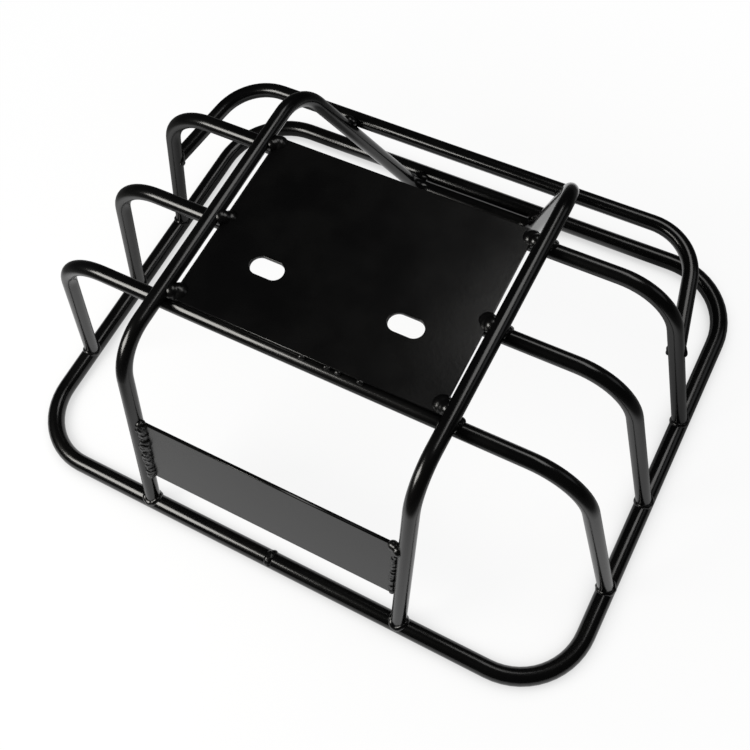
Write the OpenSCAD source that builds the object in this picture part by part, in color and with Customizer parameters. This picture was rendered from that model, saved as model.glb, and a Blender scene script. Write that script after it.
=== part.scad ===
// Front carrier of a light motorcycle: a welded rack of round steel rod with two sheets.
// Millimetres. X runs across the rack, Y towards its rear rail and Z up.
// The origin is the middle of the base ring on the surface that the ring lies on.

/* [Base ring] */
// Width of the ring between the centre lines of its side rails
ring_w = 320; // [300:5:360]
// Depth of the ring between the centre lines of its front and rear rails
ring_d = 254; // [245:1:290]
// Diameter of the ring's rod
ring_rod = 9.5; // [8:0.5:12]
// Bend radius of the ring's front corners
ring_front_bend = 36; // [20:1:50]
// Bend radius of the ring's rear corners
ring_rear_bend = 40; // [20:1:50]

/* [Hoop] */
// Diameter of the rod of the hoop, the ribs and the rear rail
rod = 8; // [6:0.5:9]
// Width between the centre lines of the hoop's top runs
hoop_w = 152; // [140:1:170]
// Width between the hoop's front feet
foot_w = 150; // [140:1:170]
// Height of the hoop's top runs above the ring, between centre lines
hoop_h = 114; // [100:1:130]
// Distance from the front rib forward to the corner of the hoop's front bend
front_reach = 34.5; // [32:0.5:40]
// Distance from the rear rib back to the corner of the hoop's rear bend
rear_reach = 33.5; // [32:0.5:40]
// Bend radius at the hoop's top
hoop_bend = 25; // [16:1:28]
// Width of the base run between the corners of its bends
base_w = 80; // [70:1:100]
// Bend radius at the two ends of the base run
base_bend = 13; // [12:0.5:16]
// Gap between the base run and the ring's rear rail
base_gap = 1.2; // [0.6:0.1:2]

/* [Ribs] */
// Distance between neighbouring ribs
rib_pitch = 50; // [44:1:54]
// Distance of the middle rib in front of the ring's middle
rib_ahead = 8.5; // [4:0.5:14]
// Width of a rib between the corners of its bends
rib_w = 276; // [250:1:290]
// Bend radius of a rib
rib_bend = 31; // [16:1:40]
// Distance that a rib's feet stand in front of its top
rib_lean = 7; // [0:0.5:12]

/* [Rear rail] */
// Height of the rail's rear run above the ring, between centre lines
rail_h = 69.5; // [60:0.5:80]
// Height above the ring at which the rail's ends meet the rear rib
rail_end_h = 62; // [50:0.5:70]
// Width of the rail between the corners of its bends
rail_w = 267; // [240:1:290]
// Bend radius of the rail
rail_bend = 29; // [16:1:36]

/* [Top plate] */
// Thickness of the top plate
plate_t = 2; // [1.5:0.1:3]
// Gap between the plate's side edge and the hoop's rod
plate_gap = 1; // [0.6:0.1:1.5]
// Distance from the front rib's centre line back to the plate's front edge
plate_front_in = 0.5; // [0:0.1:1]
// Distance that the plate's rear edge stands behind the rear rib's centre line
plate_rear_out = 3.5; // [2:0.1:4]
// Width of a slot
slot_w = 10; // [6:0.5:11]
// Length of a slot from end to end
slot_l = 18; // [14:0.5:22]
// Distance between the centres of the two slots
slot_pitch = 74; // [50:1:90]
// Distance of the slots' centre line in front of the middle rib
slot_ahead = 16.5; // [14:0.5:22]

/* [Front plate] */
// Thickness of the front plate
apron_t = 2; // [1.5:0.1:3]
// Height of the front plate, measured along the hoop's legs
apron_h = 42; // [25:1:50]
// Distance up the legs from the ring's centre line to the plate's lower edge
apron_up = 28; // [20:1:32]
// Gap between the plate's ends and the rod of the legs
apron_gap = 0.5; // [0.3:0.1:1]

/* [Welds] */
// Radius of the bead around the foot of a rod
bead_r = 2.1; // [1.5:0.1:2.5]
// Radius of a weld drop where two rods cross
drop_r = 3.3; // [2.6:0.1:3.6]
// Radius of a tack along the top plate's front edge
tack_r = 1.6; // [1.2:0.1:2]
// Radius of the drops that make the front plate's beads
stitch_r = 2; // [1.5:0.1:2.4]
// Width of the ring's butt weld
butt_w = 4.4; // [3:0.2:6]
// Height of the butt weld above the rod
butt_rise = 0.6; // [0.3:0.1:1]
// Angle that the butt weld reaches down each side of the rod from its top
butt_reach = 58; // [30:2:60]

/* [Hidden] */
$fn = 48;

steel_paint = "#161617";
weld_paint = "#1d1d1e";

// The bends are a hair thicker than the straights, which end just inside them
swell = 0.05;
lap = 0.5;

ring_z = ring_rod / 2;
hoop_z = ring_z + hoop_h;
rib_z = hoop_z - rod;
plate_z = rib_z + rod / 2;
front_y = -ring_d / 2;
middle_rib_y = -rib_ahead;
front_rib_y = middle_rib_y - rib_pitch;
rear_rib_y = middle_rib_y + rib_pitch;

ring_points = [
    [0, -ring_d / 2, ring_z], [ring_w / 2, -ring_d / 2, ring_z], [ring_w / 2, ring_d / 2, ring_z],
    [-ring_w / 2, ring_d / 2, ring_z], [-ring_w / 2, -ring_d / 2, ring_z], [0, -ring_d / 2, ring_z]
];
ring_bends = [0, ring_front_bend, ring_rear_bend, ring_rear_bend, ring_front_bend, 0];

// One half of the hoop, from its foot to its base; the other half is its mirror image
base_y = ring_d / 2 - ring_rod / 2 - base_gap - rod / 2;
hoop_foot = [foot_w / 2, front_y, ring_z];
hoop_front_corner = [hoop_w / 2, front_rib_y - front_reach, hoop_z];
hoop_rear_corner = [hoop_w / 2, rear_rib_y + rear_reach, hoop_z];
hoop_base_corner = [base_w / 2, base_y, ring_z];
hoop_half = [hoop_foot, hoop_front_corner, hoop_rear_corner, hoop_base_corner];
hoop_half_bends = [0, hoop_bend, hoop_bend, base_bend];
hoop_points = concat(hoop_half, [for (i = [3 : -1 : 0]) across(hoop_half[i])]);
hoop_bends = concat(hoop_half_bends, [for (i = [3 : -1 : 0]) hoop_half_bends[i]]);

// The rear run of the rail touches the backs of the hoop's rear legs
rail_z = ring_z + rail_h;
rear_leg = hoop_base_corner - hoop_rear_corner;
leg_y_at_rail = hoop_rear_corner[1] + rear_leg[1] * (rail_z - hoop_z) / rear_leg[2];
leg_x_at_rail = hoop_rear_corner[0] + rear_leg[0] * (rail_z - hoop_z) / rear_leg[2];
rail_y = leg_y_at_rail + rod * norm([rear_leg[1], rear_leg[2]]) / abs(rear_leg[2]);
rib_foot = [ring_w / 2, rear_rib_y - rib_lean, ring_z];
rib_corner = [rib_w / 2, rear_rib_y, rib_z];
rail_end = rib_foot + (rib_corner - rib_foot) * rail_end_h / (rib_z - ring_z);
rail_corner = [rail_w / 2, rail_y, rail_z];
rail_points = [rail_end, rail_corner, across(rail_corner), across(rail_end)];
rail_bends = [0, rail_bend, rail_bend, 0];

plate_w = hoop_w - rod - 2 * plate_gap;
plate_front_y = front_rib_y + plate_front_in;
plate_rear_y = rear_rib_y + plate_rear_out;
slot_y = middle_rib_y - slot_ahead;

front_leg = hoop_front_corner - hoop_foot;
leg_lean = atan(front_leg[1] / front_leg[2]);
// How far a front leg runs outwards for each millimetre up the plane of the legs
leg_splay = front_leg[0] / norm([front_leg[1], front_leg[2]]);
// Places of the tacks along the plate's front edge, from the middle
edge_tacks = [1.5, 14.5, 20, 31.5];
// Distance of the corner tacks from the plate's front and rear edges
corner_tack_in = 4.4;
// Distance of the base welds from the corners of the base run, towards the middle
base_weld_in = 2.5;
// Height of the base welds above the centre of the ring's rod
base_weld_up = 0.35 * rod;
// Distance of a foot bead from the centre of the rod that the foot stands on
bead_up = 0.38 * ring_rod;
rail_bead_up = 0.35 * rod;
// How far the middle of a bead or drop stands off the surface of the rod beside it
weld_off = 0.2;
// How far a cutter runs past the faces that it cuts
past = 1;

function unit(v) = v / norm(v);
function across(p) = [-p[0], p[1], p[2]];
function turn(a, b, c) = acos(unit(a - b) * unit(c - b));
function tangent(p, r, i) = r[i] == 0 ? 0 : r[i] / tan(turn(p[i - 1], p[i], p[i + 1]) / 2) - lap;

// Half the width of the front plate at a distance up the legs, a gap short of the rod
function apron_end(up) = foot_w / 2 + leg_splay * up - rod / 2 - apron_gap;

// Children drawn with their own x, y and z turned to three unit vectors, at a point
module in_frame(x, y, z, at) {
    multmatrix([
        [x[0], y[0], z[0], at[0]], [x[1], y[1], z[1], at[1]], [x[2], y[2], z[2], at[2]], [0, 0, 0, 1]
    ]) children();
}

// Children drawn with z along a direction, at a point
module along(direction, at) {
    z = unit(direction);
    x = unit(cross(abs(z[2]) < 0.9 ? [0, 0, 1] : [1, 0, 0], z));
    in_frame(x, cross(z, x), z, at) children();
}

module straight(a, b, d) {
    along(b - a, a) cylinder(h = norm(b - a), d = d);
}

// Arc of round rod that blends the corner b on the way from a to c
module elbow(a, b, c, r, d) {
    u = unit(a - b);
    v = unit(c - b);
    angle = turn(a, b, c);
    centre = b + unit(u + v) * r / sin(angle / 2);
    x = unit(b + u * r / tan(angle / 2) - centre);
    z = unit(cross(v, u));
    in_frame(x, cross(z, x), z, centre)
        rotate_extrude(angle = 180 - angle)
            translate([r, 0])
                circle(d = d + 2 * swell);
}

// Round rod through the corners p, with the bend radius r at each
module bent_rod(p, r, d) {
    n = len(p) - 1;
    for (i = [0 : n - 1]) {
        t = unit(p[i + 1] - p[i]);
        straight(p[i] + t * tangent(p, r, i), p[i + 1] - t * tangent(p, r, i + 1), d);
    }
    for (i = [1 : n - 1])
        elbow(p[i - 1], p[i], p[i + 1], r[i], d);
}

// Children at the right and, mirrored, at the left
module both_sides() {
    for (side = [0, 1])
        mirror([side, 0, 0]) children();
}

module ring_bar() {
    bent_rod(ring_points, ring_bends, ring_rod);
}

module hoop_bar() {
    bent_rod(hoop_points, hoop_bends, rod);
}

module rib_bar(y) {
    foot = [ring_w / 2, y - rib_lean, ring_z];
    corner = [rib_w / 2, y, rib_z];
    bent_rod([foot, corner, across(corner), across(foot)], [0, rib_bend, rib_bend, 0], rod);
}

module rail_bar() {
    bent_rod(rail_points, rail_bends, rod);
}

module plate_blank() {
    translate([-plate_w / 2, plate_front_y, plate_z])
        cube([plate_w, plate_rear_y - plate_front_y, plate_t]);
}

module slot() {
    for (end = [-1, 1])
        translate([end * (slot_l - slot_w) / 2, 0, plate_z - past])
            cylinder(h = plate_t + 2 * past, d = slot_w);
    translate([-(slot_l - slot_w) / 2, -slot_w / 2, plate_z - past])
        cube([slot_l - slot_w, slot_w, plate_t + 2 * past]);
}

// Children drawn in the plane of the hoop's front legs, with z up along the legs
module in_leg_plane() {
    translate([0, front_y, ring_z]) rotate([-leg_lean, 0, 0]) children();
}

module apron_blank() {
    low = apron_up;
    high = apron_up + apron_h;
    in_leg_plane()
        rotate([90, 0, 0])
            translate([0, 0, -apron_t / 2])
                linear_extrude(apron_t)
                    polygon([
                        [-apron_end(low), low], [apron_end(low), low],
                        [apron_end(high), high], [-apron_end(high), high]
                    ]);
}

// Ring of weld around a rod, a distance up from its end
module foot_bead(foot, direction, up) {
    along(direction, foot)
        translate([0, 0, up])
            rotate_extrude()
                translate([rod / 2 + weld_off, 0])
                    circle(r = bead_r);
}

module rib(y) {
    color(steel_paint)
        difference() {
            rib_bar(y);
            ring_bar();
        }
}

module rib_foot_welds(y) {
    foot = [ring_w / 2, y - rib_lean, ring_z];
    corner = [rib_w / 2, y, rib_z];
    color(weld_paint)
        both_sides()
            difference() {
                foot_bead(foot, corner - foot, bead_up);
                ring_bar();
                rib_bar(y);
            }
}

// Drop on the outer side of the crossing, in the groove between hoop and rib
module rib_hoop_welds(y) {
    color(weld_paint)
        both_sides()
            difference() {
                translate([hoop_w / 2 + rod * 0.6, y, rib_z + rod / 2 + weld_off]) sphere(r = drop_r);
                hoop_bar();
                rib_bar(y);
            }
}

// Drop over the plate's side edge and the gap to the hoop
module plate_tacks(y) {
    color(weld_paint)
        both_sides()
            difference() {
                translate([plate_w / 2 - 0.8, y, plate_z + plate_t - 0.4]) sphere(r = drop_r - 0.3);
                hoop_bar();
                plate_blank();
                translate([0, y - 2 * drop_r, plate_z - 2 * drop_r])
                    cube([hoop_w, 4 * drop_r, 2 * drop_r]);
            }
}

// Row of drops up the end of the front plate, in the corner with the leg
module apron_weld() {
    count = floor(apron_h / (1.5 * stitch_r));
    step = (apron_h - 2 * stitch_r) / (count - 1);
    color(weld_paint)
        difference() {
            in_leg_plane()
                for (i = [0 : count - 1]) {
                    up = apron_up + stitch_r + i * step;
                    translate([apron_end(up), -apron_t / 2 - 0.6, up]) sphere(r = stitch_r);
                }
            hoop_bar();
            apron_blank();
        }
}

module ring() {
    color(steel_paint) ring_bar();
}

module hoop() {
    color(steel_paint)
        difference() {
            hoop_bar();
            ring_bar();
        }
}

module front_rib() {
    rib(front_rib_y);
}

module middle_rib() {
    rib(middle_rib_y);
}

module rear_rib() {
    rib(rear_rib_y);
}

module rear_rail() {
    color(steel_paint)
        difference() {
            rail_bar();
            rib_bar(rear_rib_y);
        }
}

module top_plate() {
    color(steel_paint)
        difference() {
            plate_blank();
            for (side = [-1, 1])
                translate([side * slot_pitch / 2, slot_y, 0]) slot();
        }
}

module front_plate() {
    color(steel_paint) apron_blank();
}

// Raised bead over the top of the ring's closing joint
module ring_butt_weld() {
    r = (pow(butt_w / 2, 2) + pow(butt_rise, 2)) / (2 * butt_rise);
    color(weld_paint)
        difference() {
            translate([0, front_y, ring_z])
                rotate([0, 90, 0])
                    rotate([0, 0, 180 - butt_reach])
                        rotate_extrude(angle = 2 * butt_reach)
                            intersection() {
                                translate([ring_rod / 2 + butt_rise - r, 0]) circle(r = r);
                                translate([ring_rod / 4, -butt_w / 2]) square([ring_rod, butt_w]);
                            }
            ring_bar();
        }
}

module hoop_foot_welds() {
    color(weld_paint)
        both_sides()
            difference() {
                foot_bead(hoop_foot, front_leg, bead_up);
                ring_bar();
                hoop_bar();
            }
}

// Drop over the slit between the base run and the ring, its poles turned towards the two rods
module hoop_base_welds() {
    color(weld_paint)
        both_sides()
            difference() {
                translate([base_w / 2 - base_weld_in, ring_d / 2 - ring_rod / 2 - weld_off, ring_z + base_weld_up])
                    rotate([90, 0, 0])
                        sphere(r = drop_r);
                ring_bar();
                hoop_bar();
            }
}

module front_rib_foot_welds() {
    rib_foot_welds(front_rib_y);
}

module middle_rib_foot_welds() {
    rib_foot_welds(middle_rib_y);
}

module rear_rib_foot_welds() {
    rib_foot_welds(rear_rib_y);
}

module front_rib_hoop_welds() {
    rib_hoop_welds(front_rib_y);
}

module middle_rib_hoop_welds() {
    rib_hoop_welds(middle_rib_y);
}

module rear_rib_hoop_welds() {
    rib_hoop_welds(rear_rib_y);
}

module front_plate_corner_tacks() {
    plate_tacks(plate_front_y + corner_tack_in);
}

module middle_plate_tacks() {
    plate_tacks(middle_rib_y);
}

module rear_plate_corner_tacks() {
    plate_tacks(plate_rear_y - corner_tack_in);
}

// Tacks that hold the plate's front edge down on the front rib
module plate_edge_tacks() {
    color(weld_paint)
        difference() {
            for (x = edge_tacks)
                translate([x, plate_front_y - 0.5, plate_z + 0.8]) sphere(r = tack_r);
            rib_bar(front_rib_y);
            plate_blank();
        }
}

// Drop above the place where the rail touches the hoop's rear leg
module rail_hoop_welds() {
    contact = [leg_x_at_rail, (leg_y_at_rail + rail_y) / 2, rail_z];
    color(weld_paint)
        both_sides()
            difference() {
                translate(contact - unit(rear_leg) * (drop_r + 1.2)) sphere(r = drop_r);
                rail_bar();
                hoop_bar();
            }
}

module rail_end_welds() {
    color(weld_paint)
        both_sides()
            difference() {
                foot_bead(rail_end, rail_corner - rail_end, rail_bead_up);
                rail_bar();
                rib_bar(rear_rib_y);
            }
}

module left_front_plate_weld() {
    mirror([1, 0, 0]) apron_weld();
}

module right_front_plate_weld() {
    apron_weld();
}

ring();
hoop();
front_rib();
middle_rib();
rear_rib();
rear_rail();
top_plate();
front_plate();
ring_butt_weld();
hoop_foot_welds();
hoop_base_welds();
front_rib_foot_welds();
middle_rib_foot_welds();
rear_rib_foot_welds();
front_rib_hoop_welds();
middle_rib_hoop_welds();
rear_rib_hoop_welds();
front_plate_corner_tacks();
middle_plate_tacks();
rear_plate_corner_tacks();
plate_edge_tacks();
rail_hoop_welds();
rail_end_welds();
left_front_plate_weld();
right_front_plate_weld();
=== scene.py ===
"""Motorcycle front carrier: a welded rack of round rod with two sheets, painted gloss black."""
import math

import bmesh
import bpy
from mathutils import Matrix, Vector


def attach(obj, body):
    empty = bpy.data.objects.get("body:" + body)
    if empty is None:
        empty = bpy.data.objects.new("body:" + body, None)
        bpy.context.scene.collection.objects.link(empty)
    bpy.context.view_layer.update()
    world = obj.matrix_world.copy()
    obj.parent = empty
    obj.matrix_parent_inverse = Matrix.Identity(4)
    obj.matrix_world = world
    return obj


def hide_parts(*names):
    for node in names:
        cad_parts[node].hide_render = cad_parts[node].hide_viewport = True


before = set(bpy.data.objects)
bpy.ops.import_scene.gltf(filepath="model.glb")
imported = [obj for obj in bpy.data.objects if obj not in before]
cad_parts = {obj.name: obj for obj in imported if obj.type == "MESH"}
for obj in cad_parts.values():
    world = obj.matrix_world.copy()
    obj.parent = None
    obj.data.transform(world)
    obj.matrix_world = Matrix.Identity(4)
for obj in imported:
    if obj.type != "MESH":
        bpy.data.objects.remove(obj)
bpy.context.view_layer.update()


# Camera: it looks down on the rack from in front and a little to the right, held at a tilt.
# The lens and the place were found by fitting the rods' centre lines to the picture.
# Sizes are in millimetres and become metres through MM.
MM = 0.001
BEARING, LOOK_DOWN, TILT = (math.radians(angle) for angle in (40.0757, 62.867, -13.5129))
DISTANCE = 588.73
BESIDE_AIM, BELOW_AIM = 5.09, 7.036
RING_MIDDLE = Vector((0, 0, 4.75))
SENSOR = 36
LENS_PIXELS, PICTURE_PIXELS = 1042.656, 750

scene = bpy.context.scene
scene.view_settings.view_transform = "Standard"

away = Vector((
    math.sin(BEARING) * math.cos(LOOK_DOWN),
    -math.cos(BEARING) * math.cos(LOOK_DOWN),
    math.sin(LOOK_DOWN),
))
level_right = (-away).cross(Vector((0, 0, 1))).normalized()
level_up = level_right.cross(-away)
picture_right = level_right * math.cos(TILT) + level_up * math.sin(TILT)
picture_up = level_up * math.cos(TILT) - level_right * math.sin(TILT)
camera_place = (
    away * DISTANCE - picture_right * BESIDE_AIM - picture_up * BELOW_AIM + RING_MIDDLE
) * MM

camera = bpy.data.objects.new("camera", bpy.data.cameras.new("camera"))
camera.matrix_world = Matrix.Translation(camera_place) @ Matrix(
    (picture_right, picture_up, away)
).transposed().to_4x4()
camera.data.sensor_width = SENSOR
camera.data.lens = SENSOR * LENS_PIXELS / PICTURE_PIXELS
camera.data.clip_start = 0.01
scene.collection.objects.link(camera)
scene.camera = camera


# Floor and lamps: white paper under the rack, one lamp near its front left corner, one soft
# panel above and behind it and a weak one at its right, in a dark room.
# Places and sizes of this section are in metres.
class Socket:
    """One output of a node. Arithmetic on it adds Math nodes to its tree."""

    def __init__(self, nodes, end):
        self.nodes, self.end = nodes, end

    def math(self, operation, *terms):
        return self.nodes.add("ShaderNodeMath", {"operation": operation}, dict(enumerate(terms)))

    def __add__(self, other):
        return self.math("ADD", self, other)

    def __sub__(self, other):
        return self.math("SUBTRACT", self, other)

    def __rsub__(self, other):
        return self.math("SUBTRACT", other, self)

    def __mul__(self, other):
        return self.math("MULTIPLY", self, other)

    def __gt__(self, other):
        return self.math("GREATER_THAN", self, other)

    __radd__ = __add__
    __rmul__ = __mul__

    def between(self, low, high):
        """0 at low, 1 at high and smooth between them. Low may be the larger of the two."""
        return self.nodes.add(
            "ShaderNodeMapRange",
            {"interpolation_type": "SMOOTHSTEP"},
            {"Value": self, "From Min": low, "From Max": high},
        )


class Nodes:
    """A node tree, with one method that adds any node."""

    def __init__(self, tree):
        self.tree = tree
        tree.nodes.clear()

    def add(self, kind, settings=None, sockets=None, out=0):
        node = self.tree.nodes.new(kind)
        for name, value in (settings or {}).items():
            setattr(node, name, value)
        for key, value in (sockets or {}).items():
            if isinstance(value, Socket):
                self.tree.links.new(value.end, node.inputs[key])
            else:
                node.inputs[key].default_value = value
        return Socket(self, node.outputs[out] if node.outputs else None)


def material(name):
    made = bpy.data.materials.new(name)
    made.use_nodes = True
    return made, Nodes(made.node_tree)


PAPER_DARKER, PAPER_LIGHTER = (0.88, 0.88, 0.88, 1), (0.92, 0.92, 0.92, 1)
SHADE_REACH, SHADE_DEPTH = 0.02, 0.3
# The paper's glow in reflections: painted light in front, painted shade under the plate, painted
# light behind the top
GLOW_IN_FRONT, GLOW_UNDER, GLOW_BEHIND = 0.87, 0.15, 0.95
GLOW_OF_NEAR_PAPER, GLOW_OF_FAR_PAPER, GLOW_IN_PAINT = 0.90, 0.98, 0.9

paper, nodes = material("white_paper")
seen, mirrored, through = (
    nodes.add("ShaderNodeLightPath", out=name)
    for name in ("Is Camera Ray", "Is Glossy Ray", "Is Transmission Ray")
)
place = nodes.add("ShaderNodeTexCoord", out="Object")
from_middle = nodes.add("ShaderNodeVectorMath", {"operation": "LENGTH"}, {0: place}, "Value")
across = nodes.add("ShaderNodeSeparateXYZ", {}, {0: place}, "X")
across = across.math("ABSOLUTE", across)
depth = nodes.add("ShaderNodeSeparateXYZ", {}, {0: place}, "Y")
grain = nodes.add("ShaderNodeTexNoise", {}, {"Vector": place, "Scale": 900.0, "Detail": 3.0})

# Where something stands on the paper a narrow shade is left beside it
open_sky = nodes.add(
    "ShaderNodeAmbientOcclusion", {"samples": 8}, {"Distance": SHADE_REACH}, "AO"
)
beside = open_sky.between(0.3, 0.9) * SHADE_DEPTH + (1 - SHADE_DEPTH)

# In the paint the paper's glow is painted light in front and again behind the top, painted
# shade under the plate and beside the rear ribs, and it ends not far out
painted_light_front_shade_under = depth.between(0.06, -0.12) * (GLOW_IN_FRONT - GLOW_UNDER) + GLOW_UNDER
painted_light_behind_top = across.between(0.115, 0.075) * depth.between(0.05, 0.08) * GLOW_BEHIND
reflected_painted_light_and_shade = painted_light_front_shade_under.math("MAXIMUM", painted_light_front_shade_under, painted_light_behind_top)
reflected_painted_light_and_shade = reflected_painted_light_and_shade * from_middle.between(0.34, 0.22)
brightness = seen * beside + (1 - seen) * reflected_painted_light_and_shade

# The rest of the paper's look is lit by the lamps, which leaves the rack's shadow on it
far_out = from_middle.between(0.16, 0.36)
in_view = far_out * (GLOW_OF_FAR_PAPER - GLOW_OF_NEAR_PAPER) + GLOW_OF_NEAR_PAPER
in_paint = mirrored.math("MAXIMUM", mirrored, through) * GLOW_IN_PAINT
lit = nodes.add(
    "ShaderNodeBsdfDiffuse",
    {},
    {"Color": nodes.add(
        "ShaderNodeMix",
        {"data_type": "RGBA"},
        {0: grain, 6: PAPER_DARKER, 7: PAPER_LIGHTER},
        2,
    )},
)
glow = nodes.add("ShaderNodeEmission", {}, {"Color": brightness, "Strength": 1.0})
mixed = nodes.add("ShaderNodeMixShader", {}, {0: seen * in_view + in_paint, 1: lit, 2: glow})
nodes.add("ShaderNodeOutputMaterial", {}, {"Surface": mixed})

FLOOR = 4.0
floor_mesh = bpy.data.meshes.new("floor")
floor_mesh.from_pydata(
    [(-FLOOR, -FLOOR, 0), (FLOOR, -FLOOR, 0), (FLOOR, FLOOR, 0), (-FLOOR, FLOOR, 0)],
    [],
    [(0, 1, 2, 3)],
)
floor_mesh.materials.append(paper)
floor = bpy.data.objects.new("floor", floor_mesh)
scene.collection.objects.link(floor)

# The camera sees white, a reflection sees the dark room and the rack's paint gets even light
DARK_ROOM, EVEN_LIGHT = 0.016, 0.44
room = bpy.data.worlds.new("room")
room.use_nodes = True
scene.world = room
nodes = Nodes(room.node_tree)
seen = nodes.add("ShaderNodeLightPath", out="Is Camera Ray")
mirrored = nodes.add("ShaderNodeLightPath", out="Is Glossy Ray")
level = seen + (1 - seen) * (mirrored * DARK_ROOM + (1 - mirrored) * EVEN_LIGHT)
backdrop = nodes.add("ShaderNodeBackground", {}, {"Color": (1, 1, 1, 1), "Strength": level})
nodes.add("ShaderNodeOutputWorld", {}, {"Surface": backdrop})

LAMP_AIM = Vector((0, 0, 0.05))


def lamp(name, place, size, brightness, colour):
    """A soft panel with a given brightness of its face, where 1 looks white."""
    light = bpy.data.lights.new(name, "AREA")
    light.shape = "RECTANGLE"
    light.size, light.size_y = size
    light.energy = brightness * math.pi * size[0] * size[1]
    light.color = colour
    panel = bpy.data.objects.new(name, light)
    panel.visible_camera = False
    panel.matrix_world = Matrix.Translation(place) @ (
        Vector(place) - LAMP_AIM
    ).to_track_quat("Z", "Y").to_matrix().to_4x4()
    scene.collection.objects.link(panel)


lamp("front_lamp", (-0.30, -0.33, 0.42), (0.26, 0.26), 12.0, (1.0, 0.98, 0.93))
lamp("rear_panel", (0.16, 0.27, 0.68), (0.40, 0.26), 3.0, (1.0, 0.99, 0.97))
lamp("side_panel", (0.60, 0.35, 0.42), (0.30, 0.30), 0.45, (0.97, 0.98, 1.0))


# Base ring: one 9.5 mm mild steel rod, bent cold to a rounded rectangle and butt-welded at the
# middle of its front rail. Every rod of the rack is bent over a former and painted after
# welding.
DEEP_BLACK, FADED_BLACK = (0.0014, 0.0014, 0.0015, 1), (0.0024, 0.0024, 0.0024, 1)


def gloss_black(name, roughness, peel, speck):
    """Black stove enamel: a gloss that varies a little, orange peel and a few dust specks.

    The heights of the peel and of the specks are in metres.
    """
    made, nodes = material(name)
    place = nodes.add("ShaderNodeTexCoord", out="Object")
    drift = nodes.add("ShaderNodeTexNoise", {}, {"Vector": place, "Scale": 38.0, "Detail": 4.0})
    skin = nodes.add("ShaderNodeTexNoise", {}, {"Vector": place, "Scale": 620.0, "Detail": 2.0})
    haze = nodes.add("ShaderNodeTexNoise", {}, {"Vector": place, "Scale": 2400.0, "Detail": 2.0})
    # A speck of dust sits in the middle of about a quarter of the cells
    cells = {"Vector": place, "Scale": 95.0}
    from_speck = nodes.add("ShaderNodeTexVoronoi", {}, cells, "Distance")
    pick = nodes.add("ShaderNodeTexVoronoi", {}, cells, "Color")
    pick = nodes.add("ShaderNodeSeparateColor", {}, {0: pick}) > 0.72
    specks = from_speck.between(0.030, 0.012) * pick
    height = skin * peel + haze * (peel * 0.05) + specks * speck
    bump = nodes.add("ShaderNodeBump", {}, {"Height": height, "Distance": 1.0})
    colour = nodes.add(
        "ShaderNodeMix",
        {"data_type": "RGBA"},
        {0: drift.between(0.35, 0.65), 6: DEEP_BLACK, 7: FADED_BLACK},
        2,
    )
    enamel = nodes.add(
        "ShaderNodeBsdfPrincipled",
        {},
        {
            "Base Color": colour,
            "Roughness": (drift - 0.5) * 0.12 + (haze - 0.5) * 0.03 + roughness,
            "IOR": 1.5,
            "Normal": bump,
        },
    )
    nodes.add("ShaderNodeOutputMaterial", {}, {"Surface": enamel})
    return made


rod_paint = gloss_black("rod_paint_gloss_black", 0.20, 0.000003, 0.00005)


def chain(name, runs, label, closed=False):
    """Lines of points in millimetres with a number at each, which a tree then builds on."""
    points, links, numbers = [], [], []
    for path, values in runs:
        first, last = len(points), len(points) + len(path) - 1
        points += [Vector(p) * MM for p in path]
        numbers += [value * MM for value in values]
        links += [(i, i + 1) for i in range(first, last)] + [(last, first)] * closed
    mesh = bpy.data.meshes.new(name)
    mesh.from_pydata(points, links, [])
    mesh.attributes.new(label, "FLOAT", "POINT").data.foreach_set("value", numbers)
    made = bpy.data.objects.new(name, mesh)
    scene.collection.objects.link(made)
    return made


def tree_for(name, inputs):
    """A Geometry Nodes tree with named inputs, and a function that gives each of them."""
    tree = bpy.data.node_groups.new(name, "GeometryNodeTree")
    tree.interface.new_socket("Geometry", in_out="INPUT", socket_type="NodeSocketGeometry")
    for label, kind in inputs.items():
        tree.interface.new_socket(label, in_out="INPUT", socket_type="NodeSocket" + kind)
    tree.interface.new_socket("Geometry", in_out="OUTPUT", socket_type="NodeSocketGeometry")
    nodes = Nodes(tree)
    group = tree.nodes.new("NodeGroupInput")
    return tree, nodes, lambda label: Socket(nodes, group.outputs[label])


def finish_tree(nodes, shape, paint):
    """Smooth shading, real geometry and the paint at the end of a tree."""
    shape = nodes.add("GeometryNodeSetShadeSmooth", {}, {0: shape})
    shape = nodes.add("GeometryNodeRealizeInstances", {}, {0: shape})
    shape = nodes.add("GeometryNodeSetMaterial", {}, {"Geometry": shape, "Material": paint})
    nodes.add("NodeGroupOutput", {}, {0: shape})


def grow(host, tree, values):
    """Run a tree on its host once and keep the result as the host's plain mesh."""
    modifier = host.modifiers.new("shape", "NODES")
    modifier.node_group = tree
    for item in tree.interface.items_tree:
        if item.item_type == "SOCKET" and item.in_out == "INPUT" and item.name in values:
            modifier[item.identifier] = values[item.name]
    shown = host.evaluated_get(bpy.context.evaluated_depsgraph_get())
    mesh = bpy.data.meshes.new_from_object(shown)
    host.modifiers.remove(modifier)
    rough, host.data = host.data, mesh
    bpy.data.meshes.remove(rough)
    mesh.name = host.name
    return host


rod_tree, nodes, given = tree_for(
    "bent_rod", {"Diameter": "Float", "Sides": "Int", "Steps": "Int", "Paint": "Material"}
)
line = nodes.add("GeometryNodeMeshToCurve", {}, {0: given("Geometry")})
bend = nodes.add("GeometryNodeInputNamedAttribute", {"data_type": "FLOAT"}, {"Name": "bend"})
line = nodes.add(
    "GeometryNodeFilletCurve",
    {"mode": "POLY"},
    {"Curve": line, "Count": given("Steps"), "Radius": bend},
)
round_bar = nodes.add(
    "GeometryNodeCurvePrimitiveCircle",
    {"mode": "RADIUS"},
    {"Resolution": given("Sides"), "Radius": given("Diameter") * 0.5},
)
bar = nodes.add(
    "GeometryNodeCurveToMesh", {}, {"Curve": line, "Profile Curve": round_bar, "Fill Caps": True}
)
finish_tree(nodes, bar, given("Paint"))

ROD_SIDES, BEND_STEPS = 40, 14


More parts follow.
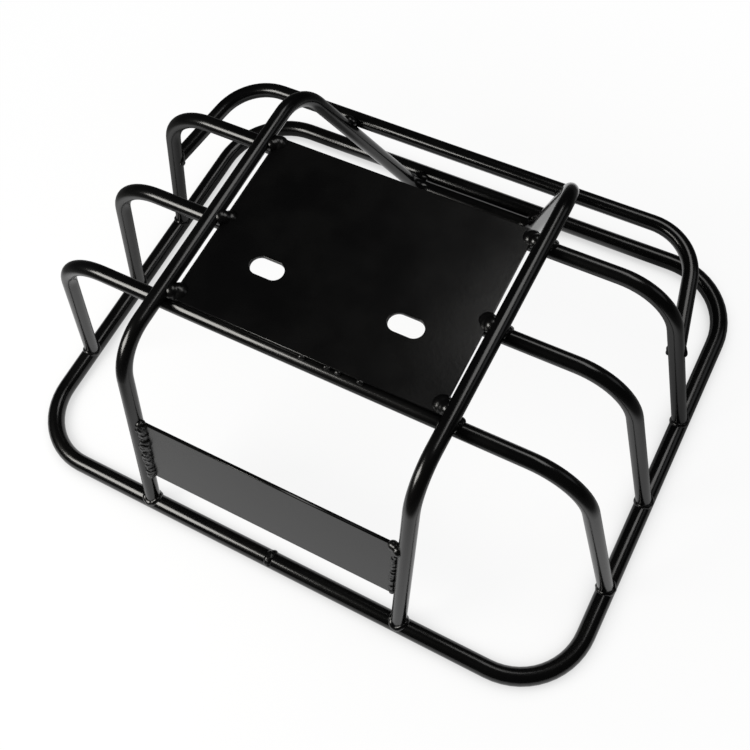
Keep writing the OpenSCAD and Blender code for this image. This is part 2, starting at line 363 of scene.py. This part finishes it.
def rod(name, node, corners, bends, diameter, closed=False):
    """A bent rod that stands for a CAD node, from its corners and the bend at each."""
    piece = grow(
        chain(name, [(corners, bends)], "bend", closed),
        rod_tree,
        {"Diameter": diameter * MM, "Sides": ROD_SIDES, "Steps": BEND_STEPS, "Paint": rod_paint},
    )
    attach(piece, "root")
    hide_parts(node)


RING_ROD = 9.5
RING_W, RING_D = 320, 254
RING_FRONT_BEND, RING_REAR_BEND = 36, 40
ring_x, ring_y, ring_z = RING_W / 2, RING_D / 2, RING_ROD / 2
rod(
    "base_ring",
    "ring",
    [
        (-ring_x, -ring_y, ring_z),
        (ring_x, -ring_y, ring_z),
        (ring_x, ring_y, ring_z),
        (-ring_x, ring_y, ring_z),
    ],
    [RING_FRONT_BEND, RING_FRONT_BEND, RING_REAR_BEND, RING_REAR_BEND],
    RING_ROD,
    closed=True,
)

# Weld metal grows along a path: drops of uneven size that run together, eased and left lumpy
bead_tree, nodes, given = tree_for("weld_bead", {
    "Pitch": "Float", "Unevenness": "Float", "Ripple": "Float", "Grain": "Float", "Easing": "Int",
    "Seed": "Int", "Paint": "Material",
})
path = nodes.add("GeometryNodeMeshToCurve", {}, {0: given("Geometry")})
path = nodes.add(
    "GeometryNodeResampleCurve", {"mode": "LENGTH"}, {"Curve": path, "Length": given("Pitch")}
)
reach = nodes.add("GeometryNodeInputNamedAttribute", {"data_type": "FLOAT"}, {"Name": "reach"})
uneven = given("Unevenness")
scatter = nodes.add(
    "FunctionNodeRandomValue",
    {"data_type": "FLOAT_VECTOR"},
    {0: (-1.0, -1.0, -1.0), 1: (1.0, 1.0, 1.0), "Seed": given("Seed")},
)
scatter = nodes.add(
    "ShaderNodeVectorMath", {"operation": "SCALE"}, {0: scatter, "Scale": uneven * reach * 0.45}
)
path = nodes.add("GeometryNodeSetPosition", {}, {"Geometry": path, "Offset": scatter})
drops = nodes.add("GeometryNodeCurveToPoints", {"mode": "EVALUATED"}, {0: path})
swing = nodes.add(
    "FunctionNodeRandomValue",
    {"data_type": "FLOAT"},
    {2: -1.0, 3: 1.0, "Seed": given("Seed")},
    1,
)
drop_reach = reach * (swing * uneven * 0.35 + 1.0)
metal = nodes.add(
    "GeometryNodePointsToVolume",
    {"resolution_mode": "VOXEL_SIZE"},
    {"Points": drops, "Voxel Size": given("Grain"), "Radius": drop_reach},
)
metal = nodes.add("GeometryNodeVolumeToMesh", {"resolution_mode": "GRID"}, {"Volume": metal})
here = nodes.add("GeometryNodeInputPosition")
eased = nodes.add(
    "GeometryNodeBlurAttribute",
    {"data_type": "FLOAT_VECTOR"},
    {"Value": here, "Iterations": given("Easing")},
)
metal = nodes.add("GeometryNodeSetPosition", {}, {"Geometry": metal, "Position": eased})
lumps = nodes.add("ShaderNodeTexNoise", {}, {"Vector": here, "Scale": 700.0, "Detail": 2.0})
outward = nodes.add("GeometryNodeInputNormal")
lumps = nodes.add(
    "ShaderNodeVectorMath",
    {"operation": "SCALE"},
    {0: outward, "Scale": (lumps - 0.5) * given("Ripple")},
)
metal = nodes.add("GeometryNodeSetPosition", {}, {"Geometry": metal, "Offset": lumps})
finish_tree(nodes, metal, given("Paint"))

weld_paint = gloss_black("weld_paint_gloss_black", 0.27, 0.000004, 0.0)
WELD_GRAIN = 0.3


def weld(name, node, runs, seed, pitch=1.1, uneven=0.25, ripple=0.12, easing=7, lowest=None):
    """Laid weld metal that stands for a CAD node.

    A run is a path and the metal's reach at each of its points. Drops lie a pitch apart. Where
    lowest is given, the metal ends flat at that height, inside the sheet that it was laid on.
    """
    piece = grow(
        chain(name, runs, "reach"),
        bead_tree,
        {
            "Pitch": pitch * MM,
            "Unevenness": uneven,
            "Ripple": ripple * MM,
            "Grain": WELD_GRAIN * MM,
            "Easing": easing,
            "Seed": seed,
            "Paint": weld_paint,
        },
    )
    if lowest is not None:
        metal = bmesh.new()
        metal.from_mesh(piece.data)
        everything = metal.verts[:] + metal.edges[:] + metal.faces[:]
        level = Vector((0, 0, lowest)) * MM
        bmesh.ops.bisect_plane(
            metal, geom=everything, plane_co=level, plane_no=(0, 0, 1), clear_inner=True
        )
        rim = [edge for edge in metal.edges if edge.is_boundary]
        bmesh.ops.holes_fill(metal, edges=rim)
        metal.to_mesh(piece.data)
        metal.free()
    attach(piece, "root")
    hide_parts(node)


# The ring's closing joint is one short weld woven over the top of the rod, left as laid
BUTT_RISE, BUTT_REACH = 0.6, 1.9
BUTT_TURN, BUTT_TURN_STEP = 56, 8
BUTT_WEAVE = 0.8
butt_out = RING_ROD / 2 + BUTT_RISE - BUTT_REACH
weave = []
for step, turn in enumerate(range(-BUTT_TURN, BUTT_TURN + 1, BUTT_TURN_STEP)):
    angle = math.radians(turn)
    weave.append(Vector((
        BUTT_WEAVE * (-1) ** step,
        -ring_y + butt_out * math.sin(angle),
        ring_z + butt_out * math.cos(angle),
    )))
weld("ring_butt_bead", "ring_butt_weld", [(weave, [BUTT_REACH] * len(weave))], seed=3, pitch=1.2)


# Hoop: one 8 mm rod makes the front legs, the top runs, the rear legs and the base run behind.
# Its feet are welded on top of the ring's front rail and its base run to the back rail.
ROD = 8
HOOP_W, HOOP_FOOT_W, BASE_W = 152, 150, 80
HOOP_H = 114
HOOP_FRONT, HOOP_REAR = -93, 75
HOOP_BEND, BASE_BEND = 25, 13
BASE_GAP = 1.2
HIDDEN_END = 2.2

hoop_z = ring_z + HOOP_H
base_y = ring_y - RING_ROD / 2 - BASE_GAP - ROD / 2
hoop_foot = Vector((HOOP_FOOT_W / 2, -ring_y, ring_z))
front_corner = Vector((HOOP_W / 2, HOOP_FRONT, hoop_z))
rear_corner = Vector((HOOP_W / 2, HOOP_REAR, hoop_z))
base_corner = Vector((BASE_W / 2, base_y, ring_z))


def short_of(start, towards, distance):
    """A point a distance along the way from start, so that an end hides in the rod below."""
    return start + (towards - start).normalized() * distance


def mirrored_point(p):
    return Vector((-p[0], p[1], p[2]))


def both_sides(runs):
    """The runs and their mirror images at the rack's left."""
    return runs + [([mirrored_point(p) for p in path], reaches) for path, reaches in runs]


def symmetric_rod(name, node, half, bends):
    """An 8 mm rod from its right end over to its left one, from its right half."""
    rod(name, node, half + [mirrored_point(p) for p in reversed(half)], bends + bends[::-1], ROD)


symmetric_rod(
    "hoop_rod",
    "hoop",
    [short_of(hoop_foot, front_corner, HIDDEN_END), front_corner, rear_corner, base_corner],
    [0, HOOP_BEND, HOOP_BEND, BASE_BEND],
)

SADDLE_STEP = 15
SUNK_IN_RING, SUNK_IN_LEG = 0.7, 0.4
FOOT_WAVE = 0.12


def saddle(foot, up, carrier, carrier_reach, rod_reach):
    """The closed line where a rod's skin meets the skin of the rod that carries it."""
    up = (up - foot).normalized()
    carrier = Vector(carrier).normalized()
    side = up.cross(carrier).normalized()
    ahead = side.cross(up).normalized()
    points = []
    for turn in range(0, 361, SADDLE_STEP):
        angle = math.radians(turn)
        out = (ahead * math.cos(angle) + side * math.sin(angle)) * rod_reach
        climb = 0.0
        # It feels its way up until it is just outside the carrier
        for _ in range(40):
            spot = out + up * climb
            off = (spot - carrier * spot.dot(carrier)).length
            climb += (carrier_reach - off) * 0.6 if off < carrier_reach or climb > 0 else 0.0
        points.append(foot + out + up * climb)
    return points


def foot_run(foot, up, carrier, reach):
    """A low bead right round the foot of a rod that stands on the ring."""
    path = saddle(foot, up, carrier, RING_ROD / 2 - SUNK_IN_RING, ROD / 2 - SUNK_IN_LEG)
    return path, [reach * (1 + FOOT_WAVE * math.sin(2.1 * step)) for step in range(len(path))]


def run_across(spot, *distances):
    """Points on a line across the rack, at distances from a spot."""
    return [spot + Vector((distance, 0, 0)) for distance in distances]


weld(
    "hoop_foot_beads",
    "hoop_foot_welds",
    both_sides([foot_run(hoop_foot, front_corner, (1, 0, 0), 2.0)]),
    seed=5,
    uneven=0.12,
    easing=12,
)
BASE_DROP_IN, BASE_DROP_BACK, BASE_DROP_UP = 2.5, 0.4, 2.7
base_spot = Vector((
    BASE_W / 2 - BASE_DROP_IN,
    ring_y - RING_ROD / 2 - BASE_DROP_BACK,
    ring_z + BASE_DROP_UP,
))
weld(
    "hoop_base_drops",
    "hoop_base_welds",
    both_sides([(run_across(base_spot, -2.0, 0, 2.2), [2.2, 2.7, 2.0])]),
    seed=8,
)


# Ribs: three 8 mm rods, each bent to a wide arch over the top. The feet stand on the ring's
# side rails, a little ahead of the arch, and the hoop's top runs lie across them.
RIB_W, RIB_BEND, RIB_LEAN = 276, 31, 7
RIB_PITCH, RIB_AHEAD = 50, 8.5
rib_z = hoop_z - ROD
rib_ys = {
    which: place * RIB_PITCH - RIB_AHEAD
    for place, which in enumerate(("front", "middle", "rear"), start=-1)
}
# A fillet's points: outwards from the hoop, back from the rib and up, from their centre lines
CROSSING_FILLET = ((2.0, -1.8, 4.45), (3.0, 1.2, 3.75), (3.1, 3.4, 1.55))


def rib_leg(y):
    """The foot and the corner of a rib's right leg."""
    return Vector((ring_x, y - RIB_LEAN, ring_z)), Vector((RIB_W / 2, y, rib_z))


for order, (which, y) in enumerate(rib_ys.items()):
    rib_foot, rib_corner = rib_leg(y)
    symmetric_rod(
        which + "_rib_rod",
        which + "_rib",
        [short_of(rib_foot, rib_corner, HIDDEN_END), rib_corner],
        [0, RIB_BEND],
    )
    weld(
        which + "_rib_foot_beads",
        which + "_rib_foot_welds",
        both_sides([foot_run(rib_foot, rib_corner, (0, 1, 0), 1.75)]),
        seed=11 + order,
        uneven=0.12,
        easing=12,
    )
    # A short fillet in the outer corner of each crossing, drawn down the rib's rear side
    fillet = [
        Vector((HOOP_W / 2 + out, y + back, rib_z + up)) for out, back, up in CROSSING_FILLET
    ]
    weld(
        which + "_crossing_fillets",
        which + "_rib_hoop_welds",
        both_sides([(fillet, [1.9, 2.3, 1.8])]),
        seed=21 + order,
        pitch=0.9,
        uneven=0.32,
        ripple=0.2,
    )


# Rear rail: an 8 mm rod bent to a flat U. Its ends are welded to the rear rib's legs and its
# back run to the hoop's rear legs.
RAIL_W, RAIL_BEND = 267, 29
RAIL_H, RAIL_END_H = 69.5, 62
RAIL_Y = 99.9
RAIL_HIDDEN_END = 1.0
SUNK_IN_ROD = 0.2
DROP_ABOVE_RAIL = 4.3

rail_z = ring_z + RAIL_H
rear_rib_foot, rear_rib_corner = rib_leg(rib_ys["rear"])
rail_end = rear_rib_foot.lerp(rear_rib_corner, RAIL_END_H / (rib_z - ring_z))
rail_corner = Vector((RAIL_W / 2, RAIL_Y, rail_z))
symmetric_rod(
    "rear_rail_rod",
    "rear_rail",
    [short_of(rail_end, rail_corner, RAIL_HIDDEN_END), rail_corner],
    [0, RAIL_BEND],
)

skin = ROD / 2 - SUNK_IN_ROD
end_path = saddle(rail_end, rail_corner, rear_rib_corner - rear_rib_foot, skin, skin)
weld(
    "rail_end_beads",
    "rail_end_welds",
    both_sides([(end_path, [1.5] * len(end_path))]),
    seed=31,
)
leg_way = (base_corner - rear_corner).normalized()
leg_at_rail = rear_corner.lerp(base_corner, (hoop_z - rail_z) / (hoop_z - ring_z))
rail_at_leg = Vector((leg_at_rail.x, RAIL_Y, rail_z))
above_touch = (leg_at_rail + rail_at_leg) / 2 - leg_way * DROP_ABOVE_RAIL
weld(
    "rail_leg_drops",
    "rail_hoop_welds",
    both_sides([(run_across(above_touch, -2.4, 0, 2.4), [2.2, 3.0, 2.3])]),
    seed=34,
)


# Top plate: 2 mm sheet laid on the three ribs between the hoop's top runs, with two slots for
# the bolts of the bracket. Sheared and punched, its edges slightly rounded under the paint.
sheet_paint = gloss_black("sheet_paint_gloss_black", 0.24, 0.00002, 0.00006)
SHEET = 2
SHEET_EDGE = 0.35


def sheet(name, node, outlines, place):
    """Flat sheet with rounded edges from closed outlines in millimetres, the outer one first."""
    shape = bpy.data.curves.new(name, "CURVE")
    shape.dimensions = "2D"
    shape.fill_mode = "BOTH"
    for outline in outlines:
        line = shape.splines.new("POLY")
        line.points.add(len(outline) - 1)
        line.points.foreach_set("co", [n for x, y in outline for n in (x * MM, y * MM, 0, 1)])
        line.use_cyclic_u = True
    shape.extrude = (SHEET / 2 - SHEET_EDGE) * MM
    shape.bevel_depth = SHEET_EDGE * MM
    shape.bevel_resolution = 3
    shape.offset = -SHEET_EDGE * MM
    drawn = bpy.data.objects.new(name, shape)
    scene.collection.objects.link(drawn)
    shown = drawn.evaluated_get(bpy.context.evaluated_depsgraph_get())
    mesh = bpy.data.meshes.new_from_object(shown)
    bpy.data.objects.remove(drawn)
    mesh.transform(place)
    whole = bmesh.new()
    whole.from_mesh(mesh)
    bmesh.ops.remove_doubles(whole, verts=whole.verts, dist=0.00001)
    bmesh.ops.recalc_face_normals(whole, faces=whole.faces)
    whole.to_mesh(mesh)
    whole.free()
    mesh.materials.clear()
    mesh.materials.append(sheet_paint)
    # The four-sided faces round the edges are shaded smooth, the flat sides aren't
    for face in mesh.polygons:
        face.use_smooth = len(face.vertices) == 4
    piece = bpy.data.objects.new(name, mesh)
    scene.collection.objects.link(piece)
    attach(piece, "root")
    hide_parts(node)


PLATE_W = 142
PLATE_FRONT, PLATE_REAR = -58, 45
SLOT_W, SLOT_L = 10, 18
SLOT_X, SLOT_Y = 37, -25
# The right edge was sheared a little short, so the gap to the hoop shows on that side too
SHORT_IN_FRONT, SHORT_BEHIND = 0.4, 1.6

plate_x = PLATE_W / 2
plate_top = rib_z + ROD / 2 + SHEET
plate_middle = plate_top - SHEET / 2


def slot_outline(x, y):
    """The outline of a slot that lies across the rack, round at both ends."""
    half_turn = [math.radians(angle) for angle in range(-90, 91, 6)]
    reach, out = SLOT_W / 2, (SLOT_L - SLOT_W) / 2
    right = [(x + out + reach * math.cos(a), y + reach * math.sin(a)) for a in half_turn]
    return right + [(2 * x - px, 2 * y - py) for px, py in right]


sheet(
    "slotted_top_plate",
    "top_plate",
    [
        [
            (-plate_x, PLATE_FRONT),
            (plate_x - SHORT_IN_FRONT, PLATE_FRONT),
            (plate_x - SHORT_BEHIND, PLATE_REAR),
            (-plate_x, PLATE_REAR),
        ],
        slot_outline(-SLOT_X, SLOT_Y),
        slot_outline(SLOT_X, SLOT_Y),
    ],
    Matrix.Translation((0, 0, plate_middle * MM)),
)

# Drops of weld hold the sheet to the hoop at both sides and to the front rib along its edge.
# A side tack's points: outwards from the sheet's edge, back, and up from the sheet's top.
CORNER_TACK_IN = 4.4
SIDE_TACK = ((-1.7, 0.8, -2.2), (-0.6, 0.0, -1.0), (1.2, -1.0, 0.6))
EDGE_TACK_XS = (1.5, 14.5, 20, 31.5)
EDGE_TACK_AHEAD, EDGE_TACK_DOWN = 0.5, 1.2
for order, (name, node, y) in enumerate([
    ("front_corner_tacks", "front_plate_corner_tacks", PLATE_FRONT + CORNER_TACK_IN),
    ("middle_side_tacks", "middle_plate_tacks", rib_ys["middle"]),
    ("rear_corner_tacks", "rear_plate_corner_tacks", PLATE_REAR - CORNER_TACK_IN),
]):
    tack = [Vector((plate_x + out, y + back, plate_top + up)) for out, back, up in SIDE_TACK]
    weld(
        name,
        node,
        both_sides([(tack, [5.0, 3.5, 3.9])]),
        seed=41 + order,
        pitch=1.3,
        uneven=0.3,
        lowest=plate_middle,
    )
edge_spots = [
    Vector((x, PLATE_FRONT - EDGE_TACK_AHEAD, plate_top - EDGE_TACK_DOWN)) for x in EDGE_TACK_XS
]
weld(
    "front_edge_tacks",
    "plate_edge_tacks",
    [(run_across(spot, -0.7, 0.7), [1.35, 1.25]) for spot in edge_spots],
    seed=47,
    pitch=0.7,
)


# Front plate: 2 mm sheet between the hoop's front legs, in the plane of their centre lines,
# welded to each leg by a bead up its end.
FRONT_PLATE_UP, FRONT_PLATE_H = 28, 42
FRONT_PLATE_GAP = 0.5

leg_way = front_corner - hoop_foot
leg_lean = math.atan2(leg_way.y, leg_way.z)
leg_splay = leg_way.x / math.hypot(leg_way.y, leg_way.z)
leg_plane = Matrix.Translation(Vector((0, -ring_y, ring_z)) * MM) @ Matrix.Rotation(
    math.pi / 2 - leg_lean, 4, "X"
)
low, high = FRONT_PLATE_UP, FRONT_PLATE_UP + FRONT_PLATE_H


def plate_end(up):
    """Half the front plate's width at a height up the legs."""
    return HOOP_FOOT_W / 2 + leg_splay * up - ROD / 2 - FRONT_PLATE_GAP


def on_leg_plane(x, up, forward):
    """A point given by its place across, up the legs and forward of their plane."""
    return leg_plane @ (Vector((x, up, forward)) * MM) / MM


sheet(
    "front_plate_sheet",
    "front_plate",
    [[
        (-plate_end(low), low),
        (plate_end(low), low),
        (plate_end(high), high),
        (-plate_end(high), high),
    ]],
    leg_plane,
)


def up_the_end(side, first, last, forward, inward, reaches):
    """A run up an end of the front plate, on its front face beside the leg."""
    path = []
    for step in range(len(reaches)):
        up = first + (last - first) * step / (len(reaches) - 1)
        path.append(on_leg_plane(side * (plate_end(up) - inward), up, forward))
    return path, reaches


# The left bead is one thick, ragged run
weld(
    "left_end_bead",
    "left_front_plate_weld",
    [up_the_end(-1, low + 1.5, high - 1.5, 0.8, -0.3, [3.0, 2.7, 2.9, 2.6, 3.0, 2.7, 2.9, 3.0])],
    seed=52,
    pitch=1.0,
    uneven=0.45,
    ripple=0.9,
    easing=3,
)

# The right bead is thin and broken, with one lump at its top.
# The lump's points: outwards and up from the plate's upper corner, and forward.
TOP_LUMP = ((-2.4, -0.8, 0.9), (-0.4, -0.2, 1.4), (1.0, -1.6, 1.6))
top_lump = [
    on_leg_plane(plate_end(high) + out, high + up, forward) for out, up, forward in TOP_LUMP
]
weld(
    "right_end_bead",
    "right_front_plate_weld",
    [
        up_the_end(1, low + 1, high - 4, 0.5, 0.9, [1.7, 1.5, 1.7, 1.6, 1.7, 1.5, 1.7]),
        (top_lump, [2.4, 3.0, 2.6]),
    ],
    seed=57,
    pitch=1.4,
    uneven=0.5,
    ripple=0.3,
    easing=3,
)
